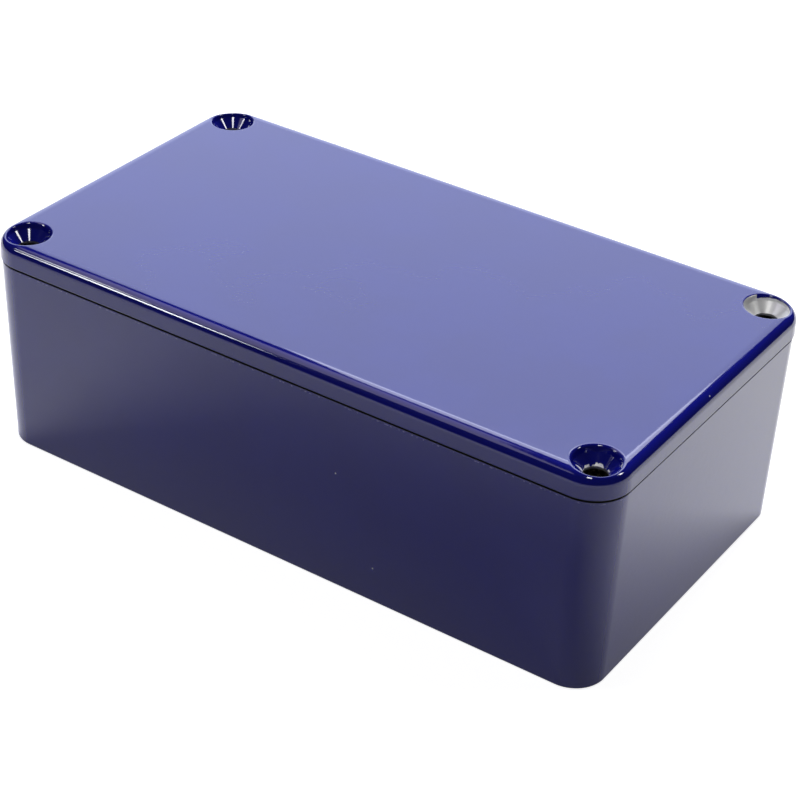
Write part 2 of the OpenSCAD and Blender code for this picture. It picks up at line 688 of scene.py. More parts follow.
@dataclass(frozen=True)
class Lid:
    """Flat lid with a rolled edge, four countersunk holes, and a locating lip below.

    A countersink has a steep upper wall, and a cone from there down to the hole.
    """

    envelope: Envelope
    edge_r: float = 1.74
    ease_r: float = 5.5
    ease_angle: float = math.radians(12)
    plate: float = 2.2
    lip_t: float = 1.5
    lip_h: float = 1.8
    lip_gap: float = 0.3
    hole_r: float = 1.95
    sink_r: float = 3.85
    cone_r: float = 3.5
    cone_top: float = 1.0
    sink_depth: float = 2.5
    rim_r: float = 0.45
    # Steps of the roll that belong to the top, and the rest to the skirt below it
    split: int = 20
    # Steps of the mesh
    top_steps: int = 12
    rim_steps: int = 10
    wall_steps: int = 4
    cone_steps: int = 6
    bore_steps: int = 4
    skirt_steps: int = 4
    edge_steps: int = 8
    lip_steps: int = 2
    inside_steps: int = 4
    # How the rim is found: slack beyond the widest reach, halvings, and a short way along it
    rim_slack: float = 0.01
    halvings: int = 44
    hair: float = 1e-4

    @property
    def roll(self) -> Roll:
        """Rolled top edge, between the flat top and the skirt's leaning side.

        Returns:
            The roll at the envelope's height.
        """
        e = self.envelope
        side = Side(e.corner_r, e.joint, -e.lean)
        return Roll(side, e.height, self.ease_r, self.ease_angle, self.edge_r)

    @property
    def edge(self) -> Profile:
        """Section of the rolled edge, from the flat top down to the side."""
        return self.roll.profile()

    def top(self, plan: Array, quarter: int) -> tuple[Array, Array]:
        """Height and direction of the top over plan points.

        Out from the corner centres the top is level up to the rolled edge, and then falls
        as the roll does.

        Args:
            plan: Points, in the quarter's own directions.
            quarter: Which quarter.

        Returns:
            The points with their heights, and the outward directions.
        """
        beyond = np.maximum(plan - self.envelope.core(quarter), 0)
        distance = np.linalg.norm(beyond, axis=-1)
        up, lean = self.roll.over(distance)
        away = beyond / np.maximum(distance, TINY)[..., None] * lean[..., None]
        slopes = np.concatenate([away, np.sqrt(1 - lean**2)[..., None]], axis=-1)
        return np.concatenate([plan, up[..., None]], axis=-1), slopes

    def ray(self, quarter: int, angle: Array, reach: Array) -> Array:
        """Works out points of the top about a quarter's screw.

        Args:
            quarter: Which quarter.
            angle: Angles round the screw.
            reach: Distances from the screw.

        Returns:
            The points, in the quarter's own directions.
        """
        way = np.stack(np.broadcast_arrays(np.cos(angle), np.sin(angle)), axis=-1)
        plan = self.envelope.screw(quarter) + way * np.asarray(reach)[..., None]
        return self.top(plan, quarter)[0]

    def ring(self, quarter: int, angle: Array, reach: float, up: float) -> Array:
        """Works out a level ring about a quarter's screw.

        Args:
            quarter: Which quarter.
            angle: Angles round the screw.
            reach: Distance from the screw.
            up: Height.

        Returns:
            The points, in the quarter's own directions.
        """
        point = self.ray(quarter, angle, np.full(np.shape(angle), reach))
        point[..., 2] = up
        return point

    def wall_up(self, reach: Array) -> Array:
        """Returns the height of the steep upper wall at a distance from the screw."""
        spread = (self.sink_r - self.cone_r) / self.cone_top
        return self.envelope.height - (self.sink_r - reach) / spread

    def rim(self, quarter: int, angle: Array) -> Array:
        """Distance from the screw to the countersink's rim.

        The rim is where the steep wall meets the top, which falls away at the rolled edge,
        so it is found by halving the span between the hole and the widest reach.

        Args:
            quarter: Which quarter.
            angle: Angles round the screw.

        Returns:
            The distance at each angle.
        """
        near = np.full(np.shape(angle), self.hole_r)
        far = np.full(np.shape(angle), self.sink_r + self.rim_slack)
        for _ in range(self.halvings):
            middle = (near + far) / 2
            above = self.wall_up(middle) > self.ray(quarter, angle, middle)[..., 2]
            near, far = np.where(above, near, middle), np.where(above, middle, far)
        return (near + far) / 2

    def lipped(self, quarter: int, angle: Array, w: Array) -> Array:
        """Rounded rim between the steep wall and the top.

        In the upright plane of each angle it is the curve with two end points and one
        guide point: one end lies on the wall and the other on the top, and the guide is
        where the tangents at both ends cross.

        Args:
            quarter: Which quarter.
            angle: Angles round the screw.
            w: 0 on the wall and 1 on the top.

        Returns:
            Points of the rim.
        """
        rim = self.rim(quarter, angle)
        sink = np.array([self.sink_r - self.cone_r, self.cone_top])
        sink = sink / np.linalg.norm(sink)
        low_out, high_out = rim - self.rim_r * sink[0], rim + self.rim_r
        low_up = self.wall_up(low_out)
        high_up = self.ray(quarter, angle, high_out)[..., 2]
        before = self.ray(quarter, angle, high_out - self.hair)[..., 2]
        rise = (high_up - before) / self.hair
        # The guide is low + s * sink, and its height above the upper end follows the rise
        s = (high_up - low_up - rise * (high_out - low_out)) / (sink[1] - rise * sink[0])
        guide_out, guide_up = low_out + s * sink[0], low_up + s * sink[1]
        a, b, c = (1 - w) ** 2, 2 * w * (1 - w), w**2
        reach = a * low_out + b * guide_out + c * high_out
        up = a * low_up + b * guide_up + c * high_up
        point = self.ray(quarter, angle, reach)
        return np.concatenate([point[..., :2], up[..., None]], axis=-1)

    def border(self, quarter: int) -> Array:
        """Works out the outline of the square cell round a screw.

        Its outer sides follow the roll where the skirt starts, round the corner too.

        Args:
            quarter: Which quarter.

        Returns:
            Plan points in the quarter's own directions, without a repeated last point.
        """
        e = self.envelope
        (a, b), corner = e.core(quarter), e.screw(quarter) - e.cell
        reach = self.edge.out[self.split]
        angle = np.linspace(0, math.pi / 2, e.corner_steps + 1)
        arc = np.array([a, b]) + reach * np.stack([np.cos(angle), np.sin(angle)], axis=-1)
        rise = np.linspace(corner[1], b, e.cell_steps + 1)[:-1]
        run = np.linspace(a, corner[0], e.cell_steps + 1)[1:]
        before = np.stack([np.full(len(rise), a + reach), rise], axis=-1)
        after = np.stack([run, np.full(len(run), b + reach)], axis=-1)
        down, back = self.inner(b, corner[1])[::-1], self.inner(a, corner[0])
        inner = np.stack([np.full(len(down), corner[0]), down], axis=-1)
        lower = np.stack([back, np.full(len(back), corner[1])], axis=-1)
        return np.concatenate([before, arc, after, inner[1:], lower[1:-1]])

    def inner(self, core: float, corner: float) -> Array:
        """Returns places across the top, from a cell's inner side to where the skirt starts."""
        level = np.linspace(corner, core + self.edge.out[0], self.top_steps + 1)
        return np.concatenate([level, core + self.edge.out[1 : self.split + 1]])

    def add_cell(self, skin: Skin, quarter: int) -> None:
        """Adds the top round one screw, its rim, its countersink and its hole.

        The top runs in straight lines in plan, from the rim out to the cell's outline, and
        the walls below in straight lines from ring to ring.

        Args:
            skin: The lid's mesh.
            quarter: Which quarter.
        """
        e = self.envelope
        border = self.border(quarter)
        border = np.concatenate([border, border[:1]])
        way = border - e.screw(quarter)
        angle = np.unwrap(np.arctan2(way[:, 1], way[:, 0]))
        start = self.lipped(quarter, angle, np.ones_like(angle))[:, None, :2]
        t = np.linspace(0, 1, self.top_steps + 1)[None, :, None]
        points, slopes = self.top(start + (border[:, None, :] - start) * t, quarter)
        skin.sheet(turned(points, quarter), turned(slopes, quarter))

        def rim(u: Array, w: Array) -> Array:
            """Rounded rim of the countersink."""
            return turned(self.lipped(quarter, u, w), quarter)

        def between(lower: Array, upper: Array, w: Array) -> Array:
            """Straight lines from a lower ring to an upper one."""
            return turned(lower + (upper - lower) * w[..., None], quarter)

        foot, shoulder = e.height - self.sink_depth, e.height - self.cone_top
        ring = partial(self.ring, quarter)

        def wall(u: Array, w: Array) -> Array:
            """Steep wall from the cone up to the rim."""
            upper = self.lipped(quarter, u, np.zeros_like(u))
            return between(ring(u, self.cone_r, shoulder), upper, w)

        def cone(u: Array, w: Array) -> Array:
            """Cone from the hole's edge up to the steep wall."""
            return between(ring(u, self.hole_r, foot), ring(u, self.cone_r, shoulder), w)

        def bore(u: Array, w: Array) -> Array:
            """Straight hole from the joint up to the cone."""
            return between(ring(u, self.hole_r, e.joint), ring(u, self.hole_r, foot), w)

        for shape, steps, finish in (
            (rim, self.rim_steps, Cover.PAINT),
            (wall, self.wall_steps, Cover.PAINT),
            (cone, self.cone_steps, Cover.PAINT),
            (bore, self.bore_steps, Cover.BARE),
        ):
            skin.grid(shape, angle, np.linspace(0, 1, steps + 1), True, finish)

    def bore_loop(self, quarter: int) -> Array:
        """Works out a hole's edge at the joint.

        Args:
            quarter: Which quarter.

        Returns:
            Plan points, without a repeated last point.
        """
        way = self.border(quarter) - self.envelope.screw(quarter)
        angle = np.arctan2(way[:, 1], way[:, 0])
        loop = self.ray(quarter, angle, np.full(len(angle), self.hole_r))[:, :2]
        return turned(loop, quarter)

    def add_top(self, skin: Skin) -> None:
        """Adds the strips between the cells, and the level middle.

        Args:
            skin: The lid's mesh.
        """
        e = self.envelope
        for quarter in QUARTERS:
            corner = e.screw(quarter) - e.cell
            middle = stations(corner[0], e.side_steps[quarter % 2], -corner[0])
            across = self.inner(e.core(quarter)[1], corner[1])
            plan = np.stack(np.meshgrid(middle, across, indexing="ij"), axis=-1)
            # A strip lies between two cells, so only its distance across it counts
            points, slopes = self.top(plan * [0, 1], quarter)
            points[..., 0] = plan[..., 0]
            skin.sheet(turned(points, quarter), turned(slopes, quarter))
        corner = e.screw(0) - e.cell
        x = stations(corner[0], e.side_steps[0], -corner[0])
        y = stations(corner[1], e.side_steps[1], -corner[1])
        plan = np.stack(np.meshgrid(x, y, indexing="ij"), axis=-1)
        points, slopes = self.top(plan * 0, 0)
        points[..., :2] = plan
        skin.sheet(points, slopes)

    def build(self) -> bpy.types.Object:
        """Builds the lid: outside, top, cells, and then the joint face, lip and ceiling.

        Returns:
            The piece.
        """
        e, skin, mouth = self.envelope, Skin(), Mouth(self.envelope)
        side = Side(e.corner_r, e.joint, -e.lean)
        lower = side.rounding(e.joint_edge, e.joint, False, self.edge_steps)
        path = e.path()
        skin.carry(path, flank(self.edge.since(self.split), lower, self.skirt_steps))
        self.add_top(skin)
        for quarter in QUARTERS:
            self.add_cell(skin, quarter)

        low, ceiling = e.joint - self.lip_h, e.height - self.plate
        outer = e.mouth_r - self.lip_gap, e.pillar_r + self.lip_gap
        inner = outer[0] - self.lip_t, outer[1] + self.lip_t
        outer_loop, inner_loop = mouth.outline(*outer), mouth.outline(*inner)
        holes = [self.bore_loop(quarter) for quarter in QUARTERS]
        joint_loops = [path.at(lower.out[-1]), outer_loop, *holes]
        skin.level(joint_loops, e.joint, False, Cover.BARE)
        for sizes, top, steps, looks_in in (
            (outer, e.joint, self.lip_steps, False),
            (inner, ceiling, self.inside_steps, True),
        ):
            up = np.linspace(0, 1, steps + 1)
            mouth.walls(
                skin, up, lambda w, s=sizes, h=top: (*s, low + (h - low) * w), looks_in
            )
        loops = np.stack([outer_loop, inner_loop], axis=1)
        loops = np.concatenate([loops, loops[:1]])
        lip = np.concatenate([loops, np.full(loops.shape[:2] + (1,), low)], axis=-1)
        skin.sheet(lip, np.broadcast_to([0.0, 0.0, -1.0], lip.shape), Cover.BARE)
        skin.level([inner_loop], ceiling, False, Cover.BARE)
        return skin.made("lid_casting")


@dataclass(frozen=True)
class Box:
    """Deep box with a floor, drafted walls, and a tapped pillar in each corner."""

    envelope: Envelope
    floor_t: float = 2.2
    floor_fillet: float = 1.5
    base_edge: float = 0.6
    tap_r: float = 1.4
    tap_depth: float = 13.0
    tap_chamfer: float = 0.4
    drill_tip: float = math.radians(118)
    thread_pitch: float = 0.79
    thread_depth: float = 0.28
    # The groove comes up to its depth over this height, and at the foot over so many times it
    thread_fade: float = 0.35
    thread_runout: float = 3.0
    # Steps of the mesh, of which the thread's are in one pitch
    edge_steps: int = 8
    side_steps: int = 14
    fillet_steps: int = 6
    wall_steps: int = 12
    tap_steps: int = 32
    chamfer_steps: int = 2
    thread_steps: int = 8
    tip_steps: int = 4

    @property
    def side(self) -> Side:
        """Outside face, which leans in on its way down."""
        e = self.envelope
        return Side(e.corner_r - e.overhang, e.joint, e.lean)

    def section(self, w: Array) -> tuple[Array, Array, Array]:
        """Section of the inner wall.

        For w from 0 to 1 it follows the fillet's arc up from the floor, and for w from 1
        to 2 the straight wall up to the joint.

        Args:
            w: Places up the section.

        Returns:
            Distance out from the corner centres, radius of the pillars, and height.
        """
        e = self.envelope
        wall = Side(e.mouth_r, e.joint, e.lean)
        centre_up = self.floor_t + self.floor_fillet
        centre_out = wall.at(centre_up) - self.floor_fillet * math.hypot(1, e.lean)
        angle = math.pi - np.clip(w, 0, 1) * (math.pi / 2 - e.draft)
        arc_out = centre_out + self.floor_fillet * np.sin(angle)
        arc_up = centre_up + self.floor_fillet * np.cos(angle)
        start = centre_up - self.floor_fillet * math.sin(e.draft)
        up = np.where(w <= 1, arc_up, start + (e.joint - start) * (w - 1))
        out = np.where(w <= 1, arc_out, wall.at(up))
        return out, e.pillar_r + e.lean * (e.joint - up), up

    def around(self, quarter: int, angle: Array, reach: Array, up: Array) -> Array:
        """Works out points about a quarter's screw.

        Args:
            quarter: Which quarter.
            angle: Angles round the screw.
            reach: Distances from the screw.
            up: Heights.

        Returns:
            The points: the screw's centre plus the distance at the angle, at the height.
        """
        x, y = self.envelope.screw(quarter)
        place = np.broadcast_arrays(x + reach * np.cos(angle), y + reach * np.sin(angle), up)
        return turned(np.stack(place, axis=-1), quarter)

    def groove(self, angle: Array, up: Array, low: float, high: float) -> Array:
        """Works out the radius of the threaded wall.

        It is the drill's radius plus a groove. The groove is a raised cosine of the height,
        which shifts by one pitch for each turn, and fades out at both ends.

        Args:
            angle: Angles round the screw.
            up: Heights.
            low: Height of the thread's foot.
            high: Height of its upper end.

        Returns:
            The radius at each angle and height.
        """
        phase = 2 * math.pi * up / self.thread_pitch - angle
        room = np.minimum(high - up, (up - low) / self.thread_runout)
        fade = np.clip(room / self.thread_fade, 0, 1)
        return self.tap_r + self.thread_depth * ((1 - np.cos(phase)) / 2) * fade

    def add_tap(self, skin: Skin, quarter: int) -> Array:
        """Adds a tapped hole, with its chamfer, its thread and its drill point.

        Args:
            skin: The box's mesh.
            quarter: Which quarter.

        Returns:
            The hole's edge at the joint, in plan.
        """
        joint, low = self.envelope.joint, self.envelope.joint - self.tap_depth
        high = joint - self.tap_chamfer
        turn = np.linspace(0, 2 * math.pi, self.tap_steps + 1)

        def chamfer(u: Array, w: Array) -> Array:
            """Chamfer at the mouth."""
            rise = self.tap_chamfer * w
            return self.around(quarter, u, self.tap_r + rise, high + rise)

        def thread(u: Array, w: Array) -> Array:
            """Threaded wall."""
            up = low + (high - low) * w
            return self.around(quarter, u, self.groove(u, up, low, high), up)

        def point(u: Array, w: Array) -> Array:
            """Drill point."""
            tip = self.tap_r / math.tan(self.drill_tip / 2)
            return self.around(quarter, u, self.tap_r * w, low - tip * (1 - w))

        rows = int((high - low) / self.thread_pitch * self.thread_steps)
        for shape, steps in (
            (chamfer, self.chamfer_steps),
            (thread, rows),
            (point, self.tip_steps),
        ):
            skin.grid(shape, turn, np.linspace(0, 1, steps + 1), True, Cover.BARE)
        edge = self.around(quarter, turn[:-1], self.tap_r + self.tap_chamfer, joint)
        return edge[:, :2]

    def build(self) -> bpy.types.Object:
        """Builds the box: outside, inner walls, tapped holes, rim, floor and underside.

        Returns:
            The piece.
        """
        e, skin, mouth = self.envelope, Skin(), Mouth(self.envelope)
        path = e.path()
        upper = self.side.rounding(e.joint_edge, e.joint, True, self.edge_steps)
        lower = self.side.rounding(self.base_edge, 0.0, False, self.edge_steps)
        skin.carry(path, flank(upper, lower, self.side_steps))
        # Values up the section at its foot, at the fillet's end and at the joint
        foot, bend, top = 0.0, 1.0, 2.0
        up = stations(foot, self.fillet_steps, bend, self.wall_steps, top)
        mouth.walls(skin, up, self.section, True)
        holes = [self.add_tap(skin, quarter) for quarter in QUARTERS]
        rim, floor = (mouth.outline(*self.section(np.array(w))[:2]) for w in (top, foot))
        skin.level([path.at(upper.out[0]), rim, *holes], e.joint, True, Cover.BARE)
        skin.level([floor], self.floor_t, True, Cover.BARE)
        skin.level([path.at(lower.out[-1])], 0.0, False, Cover.PAINT)
        return skin.made("box_casting")


# ---------------------------------------------------------------- finishes


class Graph:
    """Node tree of a finish, with one way to add any node."""

    def __init__(self, tree: bpy.types.NodeTree) -> None:
        """Starts an empty tree.

        Args:
            tree: The node tree, whose nodes are cleared.
        """
        self.tree = tree
        tree.nodes.clear()

    def node(
        self,
        kind: str,
        settings: Mapping[str, object] | None = None,
        inputs: Mapping[str | int, object] | None = None,
    ) -> bpy.types.Node:
        """Adds a node.

        Args:
            kind: The node's type.
            settings: Its own settings, which are set first.
            inputs: Values or signals for its sockets, by name or number. A colour is given
                as three numbers.

        Returns:
            The node.
        """
        made = self.tree.nodes.new(kind)
        for name, value in (settings or {}).items():
            setattr(made, name, value)
        for key, value in (inputs or {}).items():
            socket = made.inputs[key]
            if isinstance(value, Signal):
                self.tree.links.new(value.socket, socket)
            else:
                socket.default_value = (*value, 1.0) if socket.type == "RGBA" else value
        return made

    def signal(
        self,
        kind: str,
        settings: Mapping[str, object] | None = None,
        inputs: Mapping[str | int, object] | None = None,
        output: str | int = 0,
    ) -> Signal:
        """Adds a node and returns one of its outputs as a signal."""
        return Signal(self, self.node(kind, settings, inputs).outputs[output])

    def signals(
        self, kind: str, outputs: Sequence[str], inputs: Mapping[str | int, object] | None = None
    ) -> tuple[Signal, ...]:
        """Adds a node and returns several of its outputs as signals."""
        made = self.node(kind, {}, inputs)
        return tuple(Signal(self, made.outputs[output]) for output in outputs)

    def place(self) -> Signal:
        """Returns the Object coordinates, in metres."""
        return self.signal("ShaderNodeTexCoord", output="Object")

    def noise(self, place: Signal, scale: float, detail: float) -> Signal:
        """Returns fractal noise from 0 to 1, with so many features in a metre."""
        inputs = {"Vector": place, "Scale": scale, "Detail": detail}
        return self.signal("ShaderNodeTexNoise", {}, inputs)

    def blend(self, factor: Signal, first: object, second: object) -> Signal:
        """Returns a colour that goes from the first to the second with the factor."""
        settings = {"data_type": "RGBA"}
        return self.signal("ShaderNodeMix", settings, {0: factor, 6: first, 7: second}, 2)

    def distance(self, place: Signal, centre: Triple) -> Signal:
        """Returns the distance of the place from a point, in metres."""
        settings = {"operation": "DISTANCE"}
        return self.signal("ShaderNodeVectorMath", settings, {0: place, 1: centre}, "Value")

    def parts(self, place: Signal) -> tuple[Signal, Signal, Signal]:
        """Returns the three coordinates of a place."""
        return self.signals("ShaderNodeSeparateXYZ", "XYZ", {0: place})

    def millimetres(self) -> tuple[Signal, Signal, Signal]:
        """Returns the three Object coordinates in millimetres."""
        return tuple(part / MM for part in self.parts(self.place()))

    def relief(self, height: Signal, depth: float, strength: float) -> Signal:
        """Returns the surface's direction with a relief so many metres deep."""
        inputs = {"Height": height, "Distance": depth, "Strength": strength}
        return self.signal("ShaderNodeBump", {}, inputs)

    def mixed(self, factor: Signal, first: Signal, second: Signal) -> Signal:
        """Returns a shader that goes from the first to the second with the factor."""
        return self.signal("ShaderNodeMixShader", {}, {0: factor, 1: first, 2: second})

    def made(self, shader: Signal) -> None:
        """Ends the tree with a surface shader."""
        self.node("ShaderNodeOutputMaterial", {}, {"Surface": shader})


@dataclass(frozen=True)
class Signal:
    """Output socket that takes part in Python expressions, which add Math nodes."""

    graph: Graph
    socket: bpy.types.NodeSocket

    def _math(self, operation: str, *values: object) -> Signal:
        """Adds a Math node over the values."""
        inputs = dict(enumerate(values))
        return self.graph.signal("ShaderNodeMath", {"operation": operation}, inputs)

    def __add__(self, other: object) -> Signal:
        """Sum."""
        return self._math("ADD", self, other)

    def __radd__(self, other: object) -> Signal:
        """Sum with the signal second."""
        return self._math("ADD", other, self)

    def __sub__(self, other: object) -> Signal:
        """Difference."""
        return self._math("SUBTRACT", self, other)

    def __rsub__(self, other: object) -> Signal:
        """Difference with the signal second."""
        return self._math("SUBTRACT", other, self)

    def __mul__(self, other: object) -> Signal:
        """Product."""
        return self._math("MULTIPLY", self, other)

    def __rmul__(self, other: object) -> Signal:
        """Product with the signal second."""
        return self._math("MULTIPLY", other, self)

    def __truediv__(self, other: object) -> Signal:
        """Quotient."""
        return self._math("DIVIDE", self, other)

    def size(self) -> Signal:
        """Returns the value without its sign."""
        return self._math("ABSOLUTE", self)

    def root(self) -> Signal:
        """Returns the square root."""
        return self._math("SQRT", self)

    def larger(self, other: object) -> Signal:
        """Returns the larger of two values."""
        return self._math("MAXIMUM", self, other)

    def smaller(self, other: object) -> Signal:
        """Returns the smaller of two values."""
        return self._math("MINIMUM", self, other)

    def step(self, low: float, high: float) -> Signal:
        """Turns the value into a smooth step.

        Args:
            low: Value at which the step is 0.
            high: Value at which it is 1, which may be the smaller one.

        Returns:
            The step.
        """
        settings = {"interpolation_type": "SMOOTHSTEP"}
        falls = low > high
        inputs = {"Value": self, "From Min": min(low, high), "From Max": max(low, high)}
        rising = self.graph.signal("ShaderNodeMapRange", settings, inputs)
        return 1 - rising if falls else rising

    def above(self, edge: float, soft: float) -> Signal:
        """Returns 1 above the edge and 0 below it, with a smooth step of so much either way."""
        return self.step(edge - soft, edge + soft)

    def below(self, edge: float, soft: float) -> Signal:
        """Returns 1 below the edge and 0 above it, with a smooth step of so much either way."""
        return self.step(edge + soft, edge - soft)


def finish_of(name: str) -> tuple[bpy.types.Material, Graph]:
    """Makes a node material.

    Args:
        name: Its name.

    Returns:
        The material and its empty graph.
    """
    material = bpy.data.materials.new(name)
    material.use_nodes = True
    return material, Graph(material.node_tree)


@dataclass(frozen=True)
class BareCasting:
    """Bare die cast aluminium: dull, cloudy and finely pitted, and painted dark down in its
    holes, partly for dirt and partly as painted shade.

    The holes stand in four corners that mirror one another, so one centre serves them all.
    A pattern is given by its features in a metre and its layers of finer detail. Sizes and
    heights are in millimetres, but for the pits' depth in metres.
    """

    name: str
    light: Triple = (0.56, 0.56, 0.57)
    dark: Triple = (0.36, 0.36, 0.37)
    roughness: float = 0.38
    metallic: float = 1.0
    clouds: Pair = (90, 5)
    cloud_span: Pair = (0.3, 0.7)
    cloud_roughness: float = 0.15
    pits: Pair = (2600, 3)
    pit_depth: float = 0.00003
    pit_strength: float = 0.6
    hole: Pair | None = None
    hole_r: float = 2.1
    hole_soft: float = 0.05
    # Colours down in the holes: mottled dirt, made near black as painted shade of the deep bore
    dirt_shade_dark: Triple = (0.010, 0.009, 0.006)
    dirt_shade_light: Triple = (0.11, 0.10, 0.055)
    dirt_shade_span: Pair = (37.3, 36.95)
    mottle: Pair = (1900, 2)
    mottle_span: Pair = (0.45, 0.7)

    def dirt_and_shade(self, graph: Graph) -> Signal:
        """Finds where the metal lies down in a hole, which is painted dark as dirt and as
        painted shade.

        Args:
            graph: The finish's node tree.

        Returns:
            1 inside the holes' radius and below the grime's upper end, and 0 elsewhere.
        """
        x, y, z = graph.millimetres()
        across, along = x.size() - self.hole[0], y.size() - self.hole[1]
        reach = (across * across + along * along).root()
        # 1 inside the holes' radius and below the upper end of the dark dirt and painted shade,
        # and 0 elsewhere.
        return reach.below(self.hole_r, self.hole_soft) * z.step(*self.dirt_shade_span)

    def shader(self, graph: Graph) -> Signal:
        """Draws up the metal: cloudy flow marks, fine pits, and dark mottled dirt with painted
        shade in the holes.

        Args:
            graph: The finish's node tree.

        Returns:
            The shader.
        """
        place = graph.place()
        cloud = graph.noise(place, *self.clouds)
        colour = graph.blend(cloud.step(*self.cloud_span), self.dark, self.light)
        # Painted shade with mottled dirt: the metal in the holes turns near black deeper down
        if self.hole:
            mottle = graph.noise(place, *self.mottle).step(*self.mottle_span)
            dirt_shade_colour = graph.blend(mottle, self.dirt_shade_dark, self.dirt_shade_light)
            colour = graph.blend(self.dirt_and_shade(graph), colour, dirt_shade_colour)
        pits = graph.noise(place, *self.pits)
        relief = graph.relief(pits, self.pit_depth, self.pit_strength)
        inputs = {
            "Base Color": colour,
            "Metallic": self.metallic,
            "Roughness": self.roughness + cloud * self.cloud_roughness,
            "Normal": relief,
        }
        return graph.signal("ShaderNodeBsdfPrincipled", {}, inputs)

    def material(self) -> bpy.types.Material:
        """Makes the finish as a material of its own.

        Returns:
            The material.
        """
        material, graph = finish_of(self.name)
        graph.made(self.shader(graph))
        return material


@dataclass(frozen=True)
class Wear:
    """Bare patch in the paint about an upright axis, with sizes in millimetres.

    "Across" runs towards an azimuth in degrees, and "beyond" a quarter turn further on. A
    value that ends in "soft" is half the width of the smooth step at that edge.
    """

    centre: Pair
    azimuth: float = 33.0

    def frame(self, graph: Graph) -> tuple[Signal, Signal, Signal, Signal]:
        """Turns the place to the patch's own directions.

        Args:
            graph: The finish's node tree.

        Returns:
            Across, beyond, the distance from the axis, and the height.
        """
        x, y, z = graph.millimetres()
        x, y = x - self.centre[0], y - self.centre[1]
        way = math.radians(self.azimuth)
        across = x * math.cos(way) + y * math.sin(way)
        beyond = y * math.cos(way) - x * math.sin(way)
        return across, beyond, (x * x + y * y).root(), z

    def bare(self, graph: Graph) -> Signal:
        """Returns where the metal shows."""
        raise NotImplementedError


@dataclass(frozen=True)
class StrippedSink(Wear):
    """Countersink without paint, but for a ragged crescent on its steep far wall."""

    reach: float = 3.95
    reach_soft: float = 0.05
    narrowing: float = 0.3
    narrowing_span: Pair = (1.0, 2.4)
    top: float = 39.93
    low_top: float = 39.72
    top_span: Pair = (0.6, 2.4)
    top_soft: float = 0.08
    top_ragged: float = 0.3
    foot: float = 39.38
    foot_soft: float = 0.05
    rise: float = 0.03
    side_soft: float = 0.1
    start: float = -1.35
    start_soft: float = 0.06
    end: float = 3.1
    end_soft: float = 0.1
    grain: Pair = (1500, 3)
    ragged: float = 0.3

    def bare(self, graph: Graph) -> Signal:
        """Finds where the metal shows: below the rim and outside the crescent.

        The crescent's lower edge climbs a little as it goes across, and the bare part draws
        in towards the lid's edge, where the rim is lower.

        Args:
            graph: The finish's node tree.

        Returns:
            1 where the metal shows and 0 under paint.
        """
        across, beyond, reach, up = self.frame(graph)
        noise = (graph.noise(graph.place(), *self.grain) - 0.5) * (2 * self.ragged)
        edge = self.foot + (across - self.start) * self.rise + noise
        crescent = (up - edge).above(0, self.foot_soft) * beyond.above(0, self.side_soft)
        crescent = crescent * across.above(self.start, self.start_soft)
        crescent = crescent * (across + noise).below(self.end, self.end_soft)
        drawn_in = across.step(*self.narrowing_span) * self.narrowing
        inside = (reach + drawn_in - self.reach).below(0, self.reach_soft)
        top = self.top - across.step(*self.top_span) * (self.top - self.low_top)
        showing = (top - up - noise * self.top_ragged).above(0, self.top_soft)
        return inside * showing * (1 - crescent)


@dataclass(frozen=True)
class ChippedEdge(Wear):
    """Row of chips along the far edge of a hole.

    Each chip is given by its middle across, its half width and its reach from the hole.
    """

    hole_r: float = 1.95
    chips: tuple[Triple, ...] = ()
    chip_soft: float = 0.12
    edge_soft: float = 0.04
    far_span: Pair = (0.2, 0.5)
    grain: Pair = (3200, 2)
    ragged: float = 0.2

    def bare(self, graph: Graph) -> Signal:
        """Finds where the metal shows: between the hole and each chip's ragged edge.

        Args:
            graph: The finish's node tree.

        Returns:
            1 where the metal shows and 0 under paint.
        """
        across, beyond, reach, _ = self.frame(graph)
        edge = (graph.noise(graph.place(), *self.grain) - 0.5) * (2 * self.ragged)
        for middle, half, depth in self.chips:
            edge = edge + (across - middle).size().below(half, self.chip_soft) * depth
        inside = (reach - self.hole_r - edge).below(0, self.edge_soft)
        return inside * beyond.step(*self.far_span)


